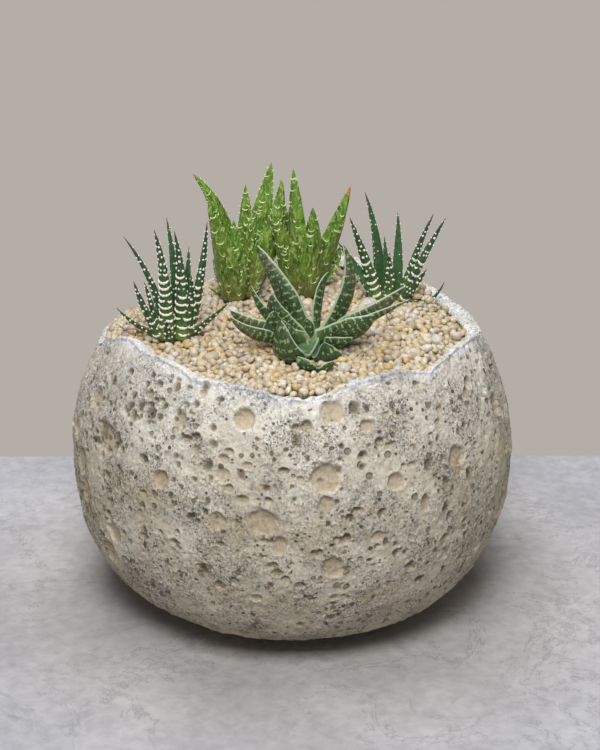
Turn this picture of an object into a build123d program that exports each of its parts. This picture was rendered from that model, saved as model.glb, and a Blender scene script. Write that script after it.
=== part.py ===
from build123d import *
import math
import os

# A round cast-stone bowl planter with a broken, wavy rim, filled and planted with five small
# succulents.  Millimetres, +Z up.  The origin is on the table, under the middle of the bowl,
# and the front of the planter faces -Y.

# ---------------------------------------------------------------- bowl
BELLY_RADIUS = 115.0         # widest outer radius
BELLY_HEIGHT = 89.0          # height of the widest ring
LOWER_DEPTH = 97.4           # half axis of the outer curve below the belly
LOWER_POWER = 2.63
UPPER_DEPTH = 113.0          # half axis of the outer curve above the belly
UPPER_POWER = 1.86
WALL = 9.0                   # cast wall, measured across the belly
INNER_LOWER_DEPTH = 88.0
INNER_UPPER_DEPTH = 115.0
FLOOR_THICKNESS = 14.0       # from the underside to the planting floor
FOOT_RADIUS = 64.0
FOOT_HEIGHT = 6.0
FOOT_SHOULDER = 70.0         # where the rounded body starts above the foot
PROFILE_TOP = 172.0          # the uncut bowl, before the rim is broken down to its wave

# ---------------------------------------------------------------- underside
PAD_THICKNESS = 1.5
PAD_RADIUS = 6.0
PAD_CIRCLE = 50.0
PAD_COUNT = 4
DRAIN_RADIUS = 9.0
RECESS_RADIUS = 15.0
RECESS_DEPTH = 6.0
PLUG_CLEARANCE = 0.08
PLUG_FLANGE_RADIUS = 12.5
PLUG_FLANGE = 2.5
MESH_RADIUS = 20.0
MESH_THICKNESS = 1.2
MESH_HOLE = 1.5
MESH_PITCH = 5.0

# ---------------------------------------------------------------- filling
LAYER_GAP = 0.2              # clearance between a filling and the wall
DRAINAGE_TOP = 42.0
SOIL_TOP = 134.0
GRAVEL_TOP = 146.8           # packed gravel at the middle, under the loose top pebbles
GRAVEL_SLOPE = 0.06          # rise towards the back, per millimetre
GRAVEL_CAMBER = 700.0        # radius of its fall towards the left and right
SPILL_TURN = 140.0           # degrees from +X to the low side of the rim, where it falls away
SPILL_START = 56.0           # how far out that way the fall starts
SPILL_TOP = 147.9            # height of the falling plane where it starts
SPILL_SLOPE = 0.17
ROOTBALL_TOP = 16.5
ROOTBALL_BOTTOM = 12.5
ROOTBALL_DEPTH = 46.0
CROWN_LIFT = 1.6             # a crown stands this far above the feet of its leaves
LEAF_THICKNESS = 0.4         # of a leaf's width

# Height of the rim round the bowl: (degrees from +X, height).
RIM_WAVE = [
    (-180, 141.5), (-169, 150), (-160, 155.5), (-142, 157), (-127, 156), (-118, 152.5),
    (-103, 152.5), (-88, 147.5), (-73, 153), (-60, 155.5), (-46, 151.5), (-28, 154.5),
    (-15, 151.5), (0, 146.5), (13, 149.5), (29, 151), (42, 156.5), (70, 159.5),
    (97, 156.5), (110, 149), (122, 142.5), (136, 141), (150, 141), (163, 143.5),
    (172, 143),
]

# The largest craters: (degrees from +X, height, radius, depth).
CRATERS = [
    (-82, 113, 8.0, 2.4), (-82, 100, 3.8, 1.8), (-103, 138, 5.4, 2.4), (-97, 91, 7.6, 2.0),
    (-93, 79, 3.6, 1.6), (-124, 104, 4.8, 2.2), (-108, 90, 4.8, 1.4), (-79, 141, 6.4, 1.2),
    (-70, 134, 3.8, 2.0), (-64, 107, 4.6, 1.8), (-44, 109, 6.2, 1.8), (-69, 81, 3.8, 1.6),
    (-80, 67, 5.8, 1.4), (-141, 66, 6.0, 1.6), (-20, 120, 6.0, 2.2), (12, 96, 8.0, 2.4),
    (35, 124, 6.0, 2.4), (58, 82, 9.0, 2.6), (84, 112, 7.0, 2.6), (104, 70, 6.0, 2.2),
    (126, 118, 9.0, 2.6), (148, 88, 7.0, 2.4), (168, 110, 5.0, 2.0), (-162, 66, 7.0, 2.4),
]

# Each plant: where its crown stands, the crown's radius, how far from its middle the leaves'
# feet may stand, how high their feet are above the gravel, and its leaves in groups.
# A leaf is (x, y, z at its knee, x, y, z at its tip, width, roll in degrees), measured from
# the foot point of the crown.  The roll turns the blade about its own length.
PLANTS = {
    "haworthia_left": {
        "at": (-60.5, -7),
        "crown": 6.5,
        "spread": 7,
        "lift": 2.4,
        "outer_leaves": [
            (-3, 1, 22, -24, -2, 54, 6, 45), (-16, -7, 19, -19, -10, 33, 5.5, -30),
            (-21, -3, 7, -29, -2, 16, 4.5, -40), (18, -7, 11, 29, -8, 21, 5, 30),
            (16, -2, 37, 18, 0, 61, 6, 50), (-11, -6, 22, -14, -6, 31, 5, -20),
            (4, 8, 14, 7, 14, 27, 4.5, 0), (-3, -12, 9, -3, -14, 13, 4.5, 0),
        ],
        "inner_leaves": [
            (-2, -6, 36, -8, -10, 60, 7.5, -20), (3, 2, 32, -3, 8, 61, 6, 0),
            (7, -5, 33, 2, -9, 59, 8, 10), (7, 5, 25, 8, 10, 45, 6, 0),
            (10, -7, 23, 10, -10, 36, 6.5, 10),
        ],
    },
    "haworthia_right": {
        "at": (52.5, 42),
        "crown": 6.5,
        "spread": 6.5,
        "lift": 2.4,
        "outer_leaves": [
            (-14, -3, 26, -22, -4, 46, 6.5, -50), (-19, -4, 20, -28, -3, 32, 6, 40),
            (18, -3, 26, 29, -2, 45, 6, 50), (14, 3, 28, 23, 5, 45, 6, 50),
            (13, -9, 9, 19, -10, 19, 6, 40), (22, -5, 2, 29, -4, 10, 5, 40),
            (-2, 7, 3, -11, 12, 15, 4.5, 0),
        ],
        "inner_leaves": [
            (-4, 0, 30, -14, -1, 59, 7, 50), (-2, 1, 18, -3, 4, 33, 5, 10),
            (0, -6, 17, -1, -9, 28, 4.5, 0), (5, 3, 24, 4, 6, 46, 6, 0),
            (3, 6, 12, 4, 10, 27, 4.5, 0),
        ],
    },
    "aloe_left": {
        "at": (-28.5, 40.5),
        "crown": 8,
        "spread": 5,
        "lift": 2.4,
        "outer_leaves": [
            (-2, 1, 45, -23, -2, 68, 9.5, 50), (-7, -8, 33, -15, -12, 54, 11, -20),
            (13, 6, 46, 18, 10, 71, 11, -60), (-11, 11, 4, -14, 14, 16, 5, 0),
            (-9, 2, 2, -16, 2, 4, 3.5, 0),
        ],
        "inner_leaves": [
            (-1, -5, 27, -2, -6, 44, 9.5, 0), (5, 6, 39, 4, 8, 59, 8.5, 0),
            (24, -1, 44, 23, 2, 64, 9.5, 70),
        ],
    },
    "aloe_right": {
        "at": (5, 45),
        "crown": 9,
        "spread": 5,
        "lift": 2.4,
        "outer_leaves": [
            (18, 1, 34, 26, 2, 58, 9.5, 60), (-9, -11, 36, -16, -15, 49, 9.5, -20),
            (21, 11, 15, 21, 12, 21, 7, -30), (-6, 11, 32, -10, 14, 47, 6, 0),
        ],
        "inner_leaves": [
            (-1, -4, 43, -4, -5, 69, 11, 0), (7, -11, 33, 6, -14, 51, 10, 10),
            (6, 10, 18, 9, 12, 34, 8, 0),
        ],
    },
    "gasteria": {
        "at": (10.5, -27),
        "crown": 5.5,
        "spread": 3,
        "lift": 8,
        "upper_leaves": [
            (-16, 5, 26, -28, 12, 44, 11.5, -30), (2, 9, 21, 8, 12, 30, 4.5, 50),
            (26, 5, 22, 15, 6, 46, 11.5, 35), (26, 3, 5, 47, 5, 25, 10.5, 60),
            (26, -6, 9, 46, -4, 20, 6, 50), (18, -8, 3, 31, -8, 14, 11.5, 60),
        ],
        "lower_leaves": [
            (-25, 3, 4, -31, 6, 25, 6, -50), (-20, -1, 6, -20, -2, 23, 9.5, -35),
            (-27, -7, 2, -41, -6, 16, 10, -60), (-30, -11, 0, -41, -10, 14, 7, -60),
            (-14, -23, -4, -16, -20, 16, 14, -10), (-23, -7, 1, -19, -9, 17, 8.5, -40),
            (10, -10, -3, 20, -10, 3, 6, 60), (11, -16, -4, 5, -17, 3, 12.5, 10),
            (-2, -3, 7, -3, -4, 11, 4.5, -20), (2, -32, -4, -8, -26, -1, 9.5, -60),
            (1, -33, -4, 10, -27, -3, 8, 60),
        ],
    },
}

LARGE_PEBBLES = [(41, 31, 4.4), (-40, -38, 4.2), (74, -10, 4.0), (-8, 66, 4.6), (26, -52, 4.0)]


def curve_radius(height, radius, lower_depth, upper_depth):
    """Radius of the bowl's curve at a height: one superellipse below the belly, one above it."""
    if height < BELLY_HEIGHT:
        depth, power = lower_depth, LOWER_POWER
    else:
        depth, power = upper_depth, UPPER_POWER
    reach = abs(height - BELLY_HEIGHT) / depth
    return radius * (1 - reach**power) ** (1 / power)


def outer_radius(height):
    return curve_radius(height, BELLY_RADIUS, LOWER_DEPTH, UPPER_DEPTH)


def inner_radius(height):
    return curve_radius(height, BELLY_RADIUS - WALL, INNER_LOWER_DEPTH, INNER_UPPER_DEPTH)


def turned(*edges):
    """A solid of revolution about Z from a closed outline in the XZ plane."""
    return revolve(make_face(Wire(list(edges))), Axis.Z)


def curve_edge(radius_at, low, high, steps=9):
    """A smooth edge along one of the bowl's curves, from a low to a high height."""
    heights = [low + (high - low) * step / steps for step in range(steps + 1)]
    return Spline(*[(radius_at(height), 0, height) for height in heights])


def filling(low, high, radius_at=inner_radius, gap=LAYER_GAP):
    """What fills the bowl between two heights, just clear of the wall."""
    side = curve_edge(lambda height: radius_at(height) - gap, low, high)
    bottom = Line((0, 0, low), side @ 0)
    top = Line(side @ 1, (0, 0, high))
    axis = Line((0, 0, high), (0, 0, low))
    return turned(bottom, side, top, axis)


def rim_cutter():
    """Everything above the broken rim, bounded below by a ruled wavy surface."""
    edges = []
    for radius in (BELLY_RADIUS * 0.5, BELLY_RADIUS * 1.2):
        points = []
        for angle, height in RIM_WAVE:
            turn = math.radians(angle)
            points.append((radius * math.cos(turn), radius * math.sin(turn), height))
        edges.append(Edge.make_spline([Vector(*point) for point in points], periodic=True))
    wave = Face.make_surface_from_curves(*edges)
    return Solid.extrude(wave, Vector(0, 0, 80))


def crater(angle, height, radius, depth):
    """A ball that leaves a shallow dish of the stated mouth radius and depth in the wall."""
    ball = (radius**2 + depth**2) / (2 * depth)
    lean = math.atan2(outer_radius(height - 1) - outer_radius(height + 1), 2)
    reach = outer_radius(height) + (ball - depth) * math.cos(lean)
    level = height + (ball - depth) * math.sin(lean)
    turn = math.radians(angle)
    return Pos(reach * math.cos(turn), reach * math.sin(turn), level) * Sphere(ball)


def make_bowl_shell():
    shoulder = (outer_radius(2 * FOOT_HEIGHT), 0, 2 * FOOT_HEIGHT)
    underside = Line((0, 0, PAD_THICKNESS), (FOOT_RADIUS, 0, PAD_THICKNESS))
    foot = Line(underside @ 1, (FOOT_RADIUS, 0, FOOT_HEIGHT))
    ledge = Line(foot @ 1, (FOOT_SHOULDER, 0, FOOT_HEIGHT))
    turn_up = Line(ledge @ 1, shoulder)
    body = curve_edge(outer_radius, 2 * FOOT_HEIGHT, PROFILE_TOP, 12)
    top = Line(body @ 1, (0, 0, PROFILE_TOP))
    axis = Line(top @ 1, underside @ 0)
    block = turned(underside, foot, ledge, turn_up, body, top, axis)
    shell = block - filling(FLOOR_THICKNESS, PROFILE_TOP - 1, inner_radius, 0)
    shell -= Pos(0, 0, PROFILE_TOP) * Cylinder(inner_radius(PROFILE_TOP - 1), 4)
    shell -= rim_cutter()
    for dish in CRATERS:
        shell -= crater(*dish)
    shell -= Cylinder(DRAIN_RADIUS, 4 * FLOOR_THICKNESS)
    recess = Cylinder(RECESS_RADIUS, 2 * (PAD_THICKNESS + RECESS_DEPTH))
    return shell - recess


def make_foot_pads():
    pads = [
        loc * Cylinder(PAD_RADIUS, PAD_THICKNESS, align=(Align.CENTER, Align.CENTER, Align.MIN))
        for loc in PolarLocations(PAD_CIRCLE, PAD_COUNT, start_angle=45)
    ]
    return Compound(children=pads)


def make_drain_plug():
    """A rubber bung: a flange up in the recess, a stem in the hole and a moulded pull lug."""
    seat = PAD_THICKNESS + RECESS_DEPTH
    flange = Pos(0, 0, seat - PLUG_FLANGE / 2) * Cylinder(PLUG_FLANGE_RADIUS, PLUG_FLANGE)
    stem_length = FLOOR_THICKNESS - seat
    stem = Pos(0, 0, seat + stem_length / 2) * Cylinder(DRAIN_RADIUS - PLUG_CLEARANCE, stem_length)
    lug = Pos(0, 0, seat - PLUG_FLANGE - 1) * Box(12, 3, 2)
    bung = flange + stem + lug
    return bung - Pos(0, 0, FLOOR_THICKNESS) * Cylinder(DRAIN_RADIUS - 3, 6)


def make_drain_mesh():
    """A stiff plastic mesh disc that keeps the drainage out of the hole."""
    disc = Cylinder(MESH_RADIUS, MESH_THICKNESS)
    reach = MESH_RADIUS - 2 * MESH_HOLE
    holes = [
        loc * Cylinder(MESH_HOLE, 2 * MESH_THICKNESS)
        for loc in GridLocations(MESH_PITCH, MESH_PITCH, 7, 7)
        if math.hypot(loc.position.X, loc.position.Y) < reach
    ]
    return Pos(0, 0, FLOOR_THICKNESS + MESH_THICKNESS / 2) * (disc - holes)


def make_drainage_layer():
    over_mesh = Pos(0, 0, FLOOR_THICKNESS) * Cylinder(MESH_RADIUS + LAYER_GAP, 2 * MESH_THICKNESS)
    return filling(FLOOR_THICKNESS, DRAINAGE_TOP) - over_mesh


def make_rootball(at):
    ball = Cone(
        ROOTBALL_BOTTOM,
        ROOTBALL_TOP,
        ROOTBALL_DEPTH,
        align=(Align.CENTER, Align.CENTER, Align.MAX),
    )
    return Pos(at[0], at[1], SOIL_TOP) * ball


def make_potting_soil(rootballs):
    soil = filling(DRAINAGE_TOP, SOIL_TOP)
    for ball in rootballs:
        soil -= ball
    return soil


def gravel_level(x, y):
    """Height of the packed gravel at a place in the bowl."""
    turn = math.radians(SPILL_TURN)
    outward = x * math.cos(turn) + y * math.sin(turn)
    spill = SPILL_TOP - SPILL_SLOPE * (outward - SPILL_START)
    return min(GRAVEL_TOP + GRAVEL_SLOPE * y - x**2 / (2 * GRAVEL_CAMBER), spill)


def above_spill():
    """A block that takes away the gravel above the plane that falls to the low rim."""
    turn = math.radians(SPILL_TURN)
    across, along = math.cos(turn), math.sin(turn)
    plane = Plane(
        origin=(SPILL_START * across, SPILL_START * along, SPILL_TOP),
        x_dir=(-along, across, 0),
        z_dir=(SPILL_SLOPE * across, SPILL_SLOPE * along, 1),
    )
    return plane * Box(300, 300, 40, align=(Align.CENTER, Align.CENTER, Align.MIN))


def make_gravel_bed():
    """The packed gravel, cambered and rising to the back, with a well round each crown."""
    bed = filling(SOIL_TOP, PROFILE_TOP - 12)
    tilt = math.degrees(math.atan(GRAVEL_SLOPE))
    barrel = Rot(90, 0, 0) * Cylinder(GRAVEL_CAMBER, 3 * BELLY_RADIUS)
    bed &= Pos(0, 0, GRAVEL_TOP) * Rot(tilt, 0, 0) * Pos(0, 0, -GRAVEL_CAMBER) * barrel
    bed -= above_spill()
    for plant in PLANTS.values():
        x, y = plant["at"]
        bed -= Pos(x, y, SOIL_TOP) * Cylinder(plant["crown"] + LAYER_GAP, 60)
    for x, y, radius in LARGE_PEBBLES:
        bed -= Pos(x, y, gravel_level(x, y) + 1) * Sphere(radius + LAYER_GAP)
    return bed


def make_large_pebbles():
    stones = [
        Pos(x, y, gravel_level(x, y) + 1) * Rot(0, 0, 37 * index) * Sphere(radius)
        for index, (x, y, radius) in enumerate(LARGE_PEBBLES)
    ]
    return Compound(children=stones)


def make_crown(plant):
    """The short stem that the leaves grow from, down through the gravel to the rootball."""
    x, y = plant["at"]
    height = gravel_level(x, y) + plant["lift"] + CROWN_LIFT - SOIL_TOP
    stem = Cone(
        plant["crown"],
        plant["crown"] * 0.7,
        height,
        align=(Align.CENTER, Align.CENTER, Align.MIN),
    )
    return Pos(x, y, SOIL_TOP) * stem


def make_leaf(foot, knee, tip, width, roll):
    """One fleshy leaf: lens sections along a spine bent at its knee, widest near the foot."""
    heading = (tip - foot).normalized()
    side = heading.cross(Vector(0, 0, 1)).normalized()
    side = side.rotate(Axis((0, 0, 0), tuple(heading)), -roll)
    sections = []
    for along, swell in ((0, 0.8), (0.22, 1), (0.5, 0.8), (0.78, 0.45), (1, 0.06)):
        point = foot * (1 - along) ** 2 + knee * (2 * along * (1 - along)) + tip * along**2
        forward = ((knee - foot) * (1 - along) + (tip - knee) * along).normalized()
        across = (side - forward * side.dot(forward)).normalized()
        place = Plane(origin=point, x_dir=across, z_dir=forward)
        sections.append(place * Ellipse(width / 2 * swell, width / 2 * LEAF_THICKNESS * swell))
    return loft(sections, ruled=True)


def make_leaves(plant, group):
    """All leaves of one group, each a solid of its own, with their feet round the crown."""
    x, y = plant["at"]
    centre = Vector(x, y, gravel_level(x, y) + plant["lift"])
    leaves = []
    for knee_x, knee_y, knee_z, tip_x, tip_y, tip_z, width, roll in plant[group]:
        outward = Vector(knee_x / 2 + tip_x / 4, knee_y / 2 + tip_y / 4, 0)
        reach = min(plant["spread"], outward.length)
        foot = centre + outward.normalized() * reach
        knee = centre + Vector(knee_x, knee_y, knee_z)
        tip = centre + Vector(tip_x, tip_y, tip_z)
        leaves.append(make_leaf(foot, knee, tip, width, roll))
    return Compound(children=leaves)


def build_nodes():
    rootballs = {name: make_rootball(plant["at"]) for name, plant in PLANTS.items()}
    nodes = {
        "bowl_shell": make_bowl_shell(),
        "foot_pads": make_foot_pads(),
        "drain_plug": make_drain_plug(),
        "drain_mesh": make_drain_mesh(),
        "drainage_layer": make_drainage_layer(),
        "potting_soil": make_potting_soil(rootballs.values()),
        "gravel_bed": make_gravel_bed(),
        "large_pebbles": make_large_pebbles(),
    }
    for name, plant in PLANTS.items():
        nodes[f"{name}_rootball"] = rootballs[name]
        nodes[f"{name}_crown"] = make_crown(plant)
        for group in plant:
            if group.endswith("leaves"):
                nodes[f"{name}_{group}"] = make_leaves(plant, group)
    return nodes


os.makedirs("parts", exist_ok=True)
for node, shape in build_nodes().items():
    export_step(shape, f"parts/{node}.step")
    print(f"{node:32s} {shape.volume / 1000:9.2f} cm3")
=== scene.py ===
import math

import bmesh
import bpy
import numpy as np
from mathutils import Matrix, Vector


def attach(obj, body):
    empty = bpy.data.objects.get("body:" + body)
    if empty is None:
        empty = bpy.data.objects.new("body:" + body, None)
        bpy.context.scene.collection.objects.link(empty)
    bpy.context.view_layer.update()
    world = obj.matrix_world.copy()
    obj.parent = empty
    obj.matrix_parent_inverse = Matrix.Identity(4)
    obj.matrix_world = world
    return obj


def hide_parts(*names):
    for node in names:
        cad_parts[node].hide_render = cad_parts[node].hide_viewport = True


# The planted stone bowl.  Shapes are worked out in millimetres, as in the CAD, and every
# mesh is written in metres.  The front faces -Y.

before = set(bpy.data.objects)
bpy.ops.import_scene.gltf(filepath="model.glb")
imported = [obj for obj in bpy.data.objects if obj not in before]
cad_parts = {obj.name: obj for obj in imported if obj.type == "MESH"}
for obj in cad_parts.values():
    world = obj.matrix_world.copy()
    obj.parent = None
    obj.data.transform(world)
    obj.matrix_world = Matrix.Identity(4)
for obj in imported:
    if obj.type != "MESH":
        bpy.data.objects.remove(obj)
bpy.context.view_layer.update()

MM = 0.001
BODY = "planter"

# ---------------------------------------------------------------- sizes shared with the CAD
BELLY_RADIUS = 115.0
BELLY_HEIGHT = 89.0
LOWER_DEPTH = 97.4
LOWER_POWER = 2.63
UPPER_DEPTH = 113.0
UPPER_POWER = 1.86
WALL = 9.0
INNER_LOWER_DEPTH = 88.0
INNER_UPPER_DEPTH = 115.0
FLOOR_THICKNESS = 14.0
FOOT_RADIUS = 64.0
FOOT_HEIGHT = 6.0
FOOT_SHOULDER = 70.0
UNDERSIDE = 1.5
DRAIN_RADIUS = 9.0
RECESS_RADIUS = 15.0
RECESS_DEPTH = 6.0
GRAVEL_TOP = 146.8
GRAVEL_SLOPE = 0.06
GRAVEL_CAMBER = 700.0
SPILL_TURN = 140.0           # degrees from +X to the low side of the rim, where it falls away
SPILL_START = 56.0
SPILL_TOP = 147.9
SPILL_SLOPE = 0.17

# Height of the rim round the bowl: (degrees from +X, height).  The front dip is 1.5 mm higher
# than in the CAD.
RIM_WAVE = [
    (-180, 141.5), (-169, 150), (-160, 155.5), (-142, 157), (-127, 156), (-118, 152.5),
    (-103, 152.5), (-88, 149), (-73, 153), (-60, 155.5), (-46, 151.5), (-28, 154.5),
    (-15, 151.5), (0, 146.5), (13, 149.5), (29, 151), (42, 156.5), (70, 159.5),
    (97, 156.5), (110, 149), (122, 142.5), (136, 141), (150, 141), (163, 143.5),
    (172, 143),
]

# The large craters, as in the CAD: (degrees from +X, height, radius, depth).
CRATERS = [
    (-82, 113, 8.0, 2.4), (-82, 100, 3.8, 1.8), (-103, 138, 5.4, 2.4), (-97, 91, 7.6, 2.0),
    (-93, 79, 3.6, 1.6), (-124, 104, 4.8, 2.2), (-108, 90, 4.8, 1.4), (-79, 141, 6.4, 1.2),
    (-70, 134, 3.8, 2.0), (-64, 107, 4.6, 1.8), (-44, 109, 6.2, 1.8), (-69, 81, 3.8, 1.6),
    (-80, 67, 5.8, 1.4), (-141, 66, 6.0, 1.6), (-20, 120, 6.0, 2.2), (12, 96, 8.0, 2.4),
    (35, 124, 6.0, 2.4), (58, 82, 9.0, 2.6), (84, 112, 7.0, 2.6), (104, 70, 6.0, 2.2),
    (126, 118, 9.0, 2.6), (148, 88, 7.0, 2.4), (168, 110, 5.0, 2.0), (-162, 66, 7.0, 2.4),
]

# Smaller pits with tan floors, then narrow deep ones darkened with painted shade: (degrees from +X,
# height, radius).
TAN_PITS = [
    (-121, 132, 3.8), (-118, 137, 1.9), (-116, 146, 2.1), (-115, 122, 2.1), (-141, 110, 2.5),
    (-154, 99, 2.5), (-102, 102, 3.3), (-97, 109, 1.9), (-98, 102, 1.4), (-129, 95, 2.7),
    (-130, 84, 2.0), (-107, 120, 3.1), (-107, 113, 3.5), (-101, 118, 2.8), (-88, 113, 2.2),
    (-69, 150, 2.6), (-59, 113, 2.6), (-58, 121, 1.7), (-65, 124, 1.9), (-59, 132, 1.9),
    (-46, 133, 2.4), (-48, 128, 2.4), (-44, 102, 3.6), (-40, 106, 2.0), (-49, 98, 2.9),
    (-56, 93, 3.1), (-79, 81, 3.3), (-49, 68, 3.4), (-42, 70, 2.5), (-64, 137, 1.9),
    (-51, 146, 2.4), (-33, 134, 3.2), (-20, 127, 2.0), (-125, 149, 1.7), (-134, 140, 1.5),
]
DEEP_PITS = [
    (-130, 112, 3.1), (-131, 132, 3.1), (-125, 146, 2.2), (-128, 148, 1.2), (-110, 145, 1.7),
    (-135, 148, 1.9), (-111, 133, 1.4), (-115, 90, 1.9), (-111, 94, 1.4), (-73, 142, 2.8),
    (-39, 122, 1.7), (-67, 77, 1.4), (-64, 70, 2.4), (-91, 138, 0.9), (-95, 133, 1.2),
    (-90, 134, 0.9), (-99, 126, 0.9), (-95, 124, 1.1), (-86, 122, 1.2), (-100, 122, 0.9),
    (-99, 130, 1.2), (-97, 136, 0.9), (-90, 127, 0.8), (-78, 121, 1.2), (-78, 107, 1.2),
    (-56, 133, 1.1), (-78, 96, 0.9), (-26, 140, 1.0), (-60, 154, 1.0),
]

# The plants stand and lean as in the CAD; some gasteria leaves differ in width and roll.
# A leaf is (x, y, z at its knee, x, y, z at its tip, width, roll), from the plant's middle.
PLANTS = {
    "haworthia_left": {
        "at": (-60.5, -7),
        "crown": 6.5,
        "spread": 7,
        "lift": 2.4,
        "outer_leaves": [
            (-3, 1, 22, -24, -2, 54, 8, -45), (-16, -7, 19, -19, -10, 33, 7, -30),
            (-21, -3, 7, -29, -2, 16, 6, -40), (18, -7, 11, 29, -8, 21, 6.5, 30),
            (16, -2, 37, 18, 0, 61, 8, 50), (-11, -6, 22, -14, -6, 31, 6.5, -20),
            (4, 8, 14, 7, 14, 27, 6, 0), (-3, -12, 9, -3, -14, 13, 6, 0),
        ],
        "inner_leaves": [
            (-2, -6, 36, -8, -10, 60, 9.5, -20), (3, 2, 32, -3, 8, 61, 8, 0),
            (7, -5, 33, 2, -9, 59, 10, 10), (7, 5, 25, 8, 10, 45, 7.5, 0),
            (10, -7, 23, 10, -10, 36, 8.5, 10),
        ],
    },
    "haworthia_right": {
        "at": (52.5, 42),
        "crown": 6.5,
        "spread": 6.5,
        "lift": 2.4,
        "outer_leaves": [
            (-14, -3, 26, -22, -4, 46, 8.5, -50), (-19, -4, 20, -28, -3, 32, 8, 40),
            (18, -3, 26, 29, -2, 45, 8, 50), (14, 3, 28, 23, 5, 45, 8, 50),
            (13, -9, 9, 19, -10, 19, 8, 40), (22, -5, -7, 29, -4, 10, 6.5, 40),
            (-2, 7, 3, -11, 12, 15, 6, 0),
        ],
        "inner_leaves": [
            (-4, 0, 30, -14, -1, 59, 9, 50), (-2, 1, 18, -3, 4, 33, 6.5, 10),
            (0, -6, 17, -1, -9, 28, 6, 0), (5, 3, 24, 4, 6, 46, 7.5, 0),
            (3, 6, 12, 4, 10, 27, 6, 0),
        ],
    },
    "aloe_left": {
        "at": (-28.5, 40.5),
        "crown": 8,
        "spread": 5,
        "lift": 2.4,
        "outer_leaves": [
            (-2, 1, 45, -23, -2, 68, 13, 50), (-7, -8, 33, -15, -12, 54, 15, -20),
            (13, 6, 46, 18, 10, 71, 15, -60), (-11, 11, 4, -14, 14, 16, 7, 0),
            (-9, 2, 0, -16, 2, 4, 5, 0),
        ],
        "inner_leaves": [
            (-1, -5, 27, -2, -6, 44, 13, 0), (5, 6, 39, 4, 8, 59, 12, 0),
            (24, -1, 44, 23, 2, 64, 13, 70),
        ],
    },
    "aloe_right": {
        "at": (5, 45),
        "crown": 9,
        "spread": 5,
        "lift": 2.4,
        "outer_leaves": [
            (18, 1, 34, 26, 2, 58, 13, 60), (-9, -11, 36, -16, -15, 49, 13, -20),
            (21, 11, 15, 21, 12, 21, 10, -30), (-6, 11, 32, -10, 14, 47, 8, 0),
        ],
        "inner_leaves": [
            (-1, -4, 43, -4, -5, 69, 15, 0), (7, -11, 33, 6, -14, 51, 14, 10),
            (6, 10, 18, 9, 12, 34, 11, 0),
        ],
    },
    "gasteria": {
        "at": (10.5, -27),
        "crown": 5.5,
        "spread": 3,
        "lift": 8,
        "upper_leaves": [
            (-16, 5, 26, -28, 12, 44, 15, -70), (2, 9, 21, 8, 12, 30, 8, 85),
            (26, 5, 22, 15, 6, 46, 13, 60), (26, 3, 5, 47, 5, 25, 14, 62),
            (26, -6, 9, 46, -4, 20, 8, 50), (18, -8, 3, 31, -8, 14, 15, 60),
        ],
        "lower_leaves": [
            (-25, 3, 4, -31, 6, 25, 8, -60), (-20, -1, 6, -20, -2, 23, 13, -55),
            (-27, -7, 2, -41, -6, 16, 13, -60), (-30, -11, 0, -41, -10, 14, 9, -60),
            (-14, -22, -16, -16, -20, 16, 18, -10), (-23, -7, 1, -19, -9, 17, 12, -75),
            (10, -10, -3, 20, -10, 3, 8, 60), (11, -16, -15, 5, -17, 3, 16, 10),
            (-2, -3, 7, -3, -4, 11, 6, -20), (2, -32, -14, -8, -26, -1, 9, -12),
            (1, -33, -13, 10, -27, -3, 7, 12),
        ],
    },
}

# The larger pebbles, as in the CAD: (x, y, radius).
LARGE_PEBBLES = [(41, 31, 4.4), (-40, -38, 4.2), (74, -10, 4.0), (-8, 66, 4.6), (26, -52, 4.0)]


# ---------------------------------------------------------------- small tools
def lattice_noise(points, seed):
    """Smooth value noise of about unit period, from -1 to 1, at each row of points."""
    cell = np.floor(points).astype(np.int64)
    inside = points - cell
    ease = inside * inside * (3 - 2 * inside)
    total = np.zeros(len(points))
    for corner in range(8):
        step = np.array([corner & 1, corner >> 1 & 1, corner >> 2 & 1])
        key = (cell + step) @ np.array([73856093, 19349663, 83492791]) + seed * 2654435761
        key = (key ^ (key >> 13)) * 1274126177 & 0xFFFFFFFF
        key = (key ^ (key >> 15)) * 668265263 & 0xFFFFFFFF
        value = (key ^ (key >> 16)) / 0xFFFFFFFF * 2 - 1
        weight = np.prod(np.where(step, ease, 1 - ease), axis=1)
        total += value * weight
    return total


def layered_noise(points, size, seed, octaves=3):
    """Several octaves of noise, the coarsest with features of about the stated size."""
    total = np.zeros(len(points))
    strength = 1.0
    for octave in range(octaves):
        total += strength * lattice_noise(points / size + 17.3 * octave, seed + octave)
        size *= 0.47
        strength *= 0.5
    return total


def smooth_step(low, high, value):
    t = np.clip((value - low) / (high - low), 0, 1)
    return t * t * (3 - 2 * t)


def unit(vectors):
    """The vectors along the last axis, made one long."""
    return vectors / np.maximum(np.linalg.norm(vectors, axis=-1, keepdims=True), 1e-9)


def build_mesh(name, points, faces, material, **values):
    """A smooth piece from points in millimetres and faces; values become point attributes."""
    mesh = bpy.data.meshes.new(name)
    mesh.vertices.add(len(points))
    mesh.vertices.foreach_set("co", (points * MM).astype(np.float32).reshape(-1))
    mesh.loops.add(faces.size)
    mesh.loops.foreach_set("vertex_index", faces.astype(np.int32).reshape(-1))
    mesh.polygons.add(len(faces))
    starts = np.arange(len(faces), dtype=np.int32) * faces.shape[1]
    mesh.polygons.foreach_set("loop_start", starts)
    mesh.update(calc_edges=True)
    mesh.validate()
    mesh.polygons.foreach_set("use_smooth", np.ones(len(mesh.polygons), bool))
    for key, value in values.items():
        kind, field = "FLOAT", "value"
        if value.ndim == 2:
            kind, field = "FLOAT_COLOR", "color"
            value = np.hstack([value, np.ones((len(value), 1))])
        data = mesh.attributes.new(key, kind, "POINT").data
        data.foreach_set(field, value.astype(np.float32).reshape(-1))
    mesh.materials.append(material)
    piece = bpy.data.objects.new(name, mesh)
    bpy.context.scene.collection.objects.link(piece)
    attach(piece, BODY)
    return piece


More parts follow.
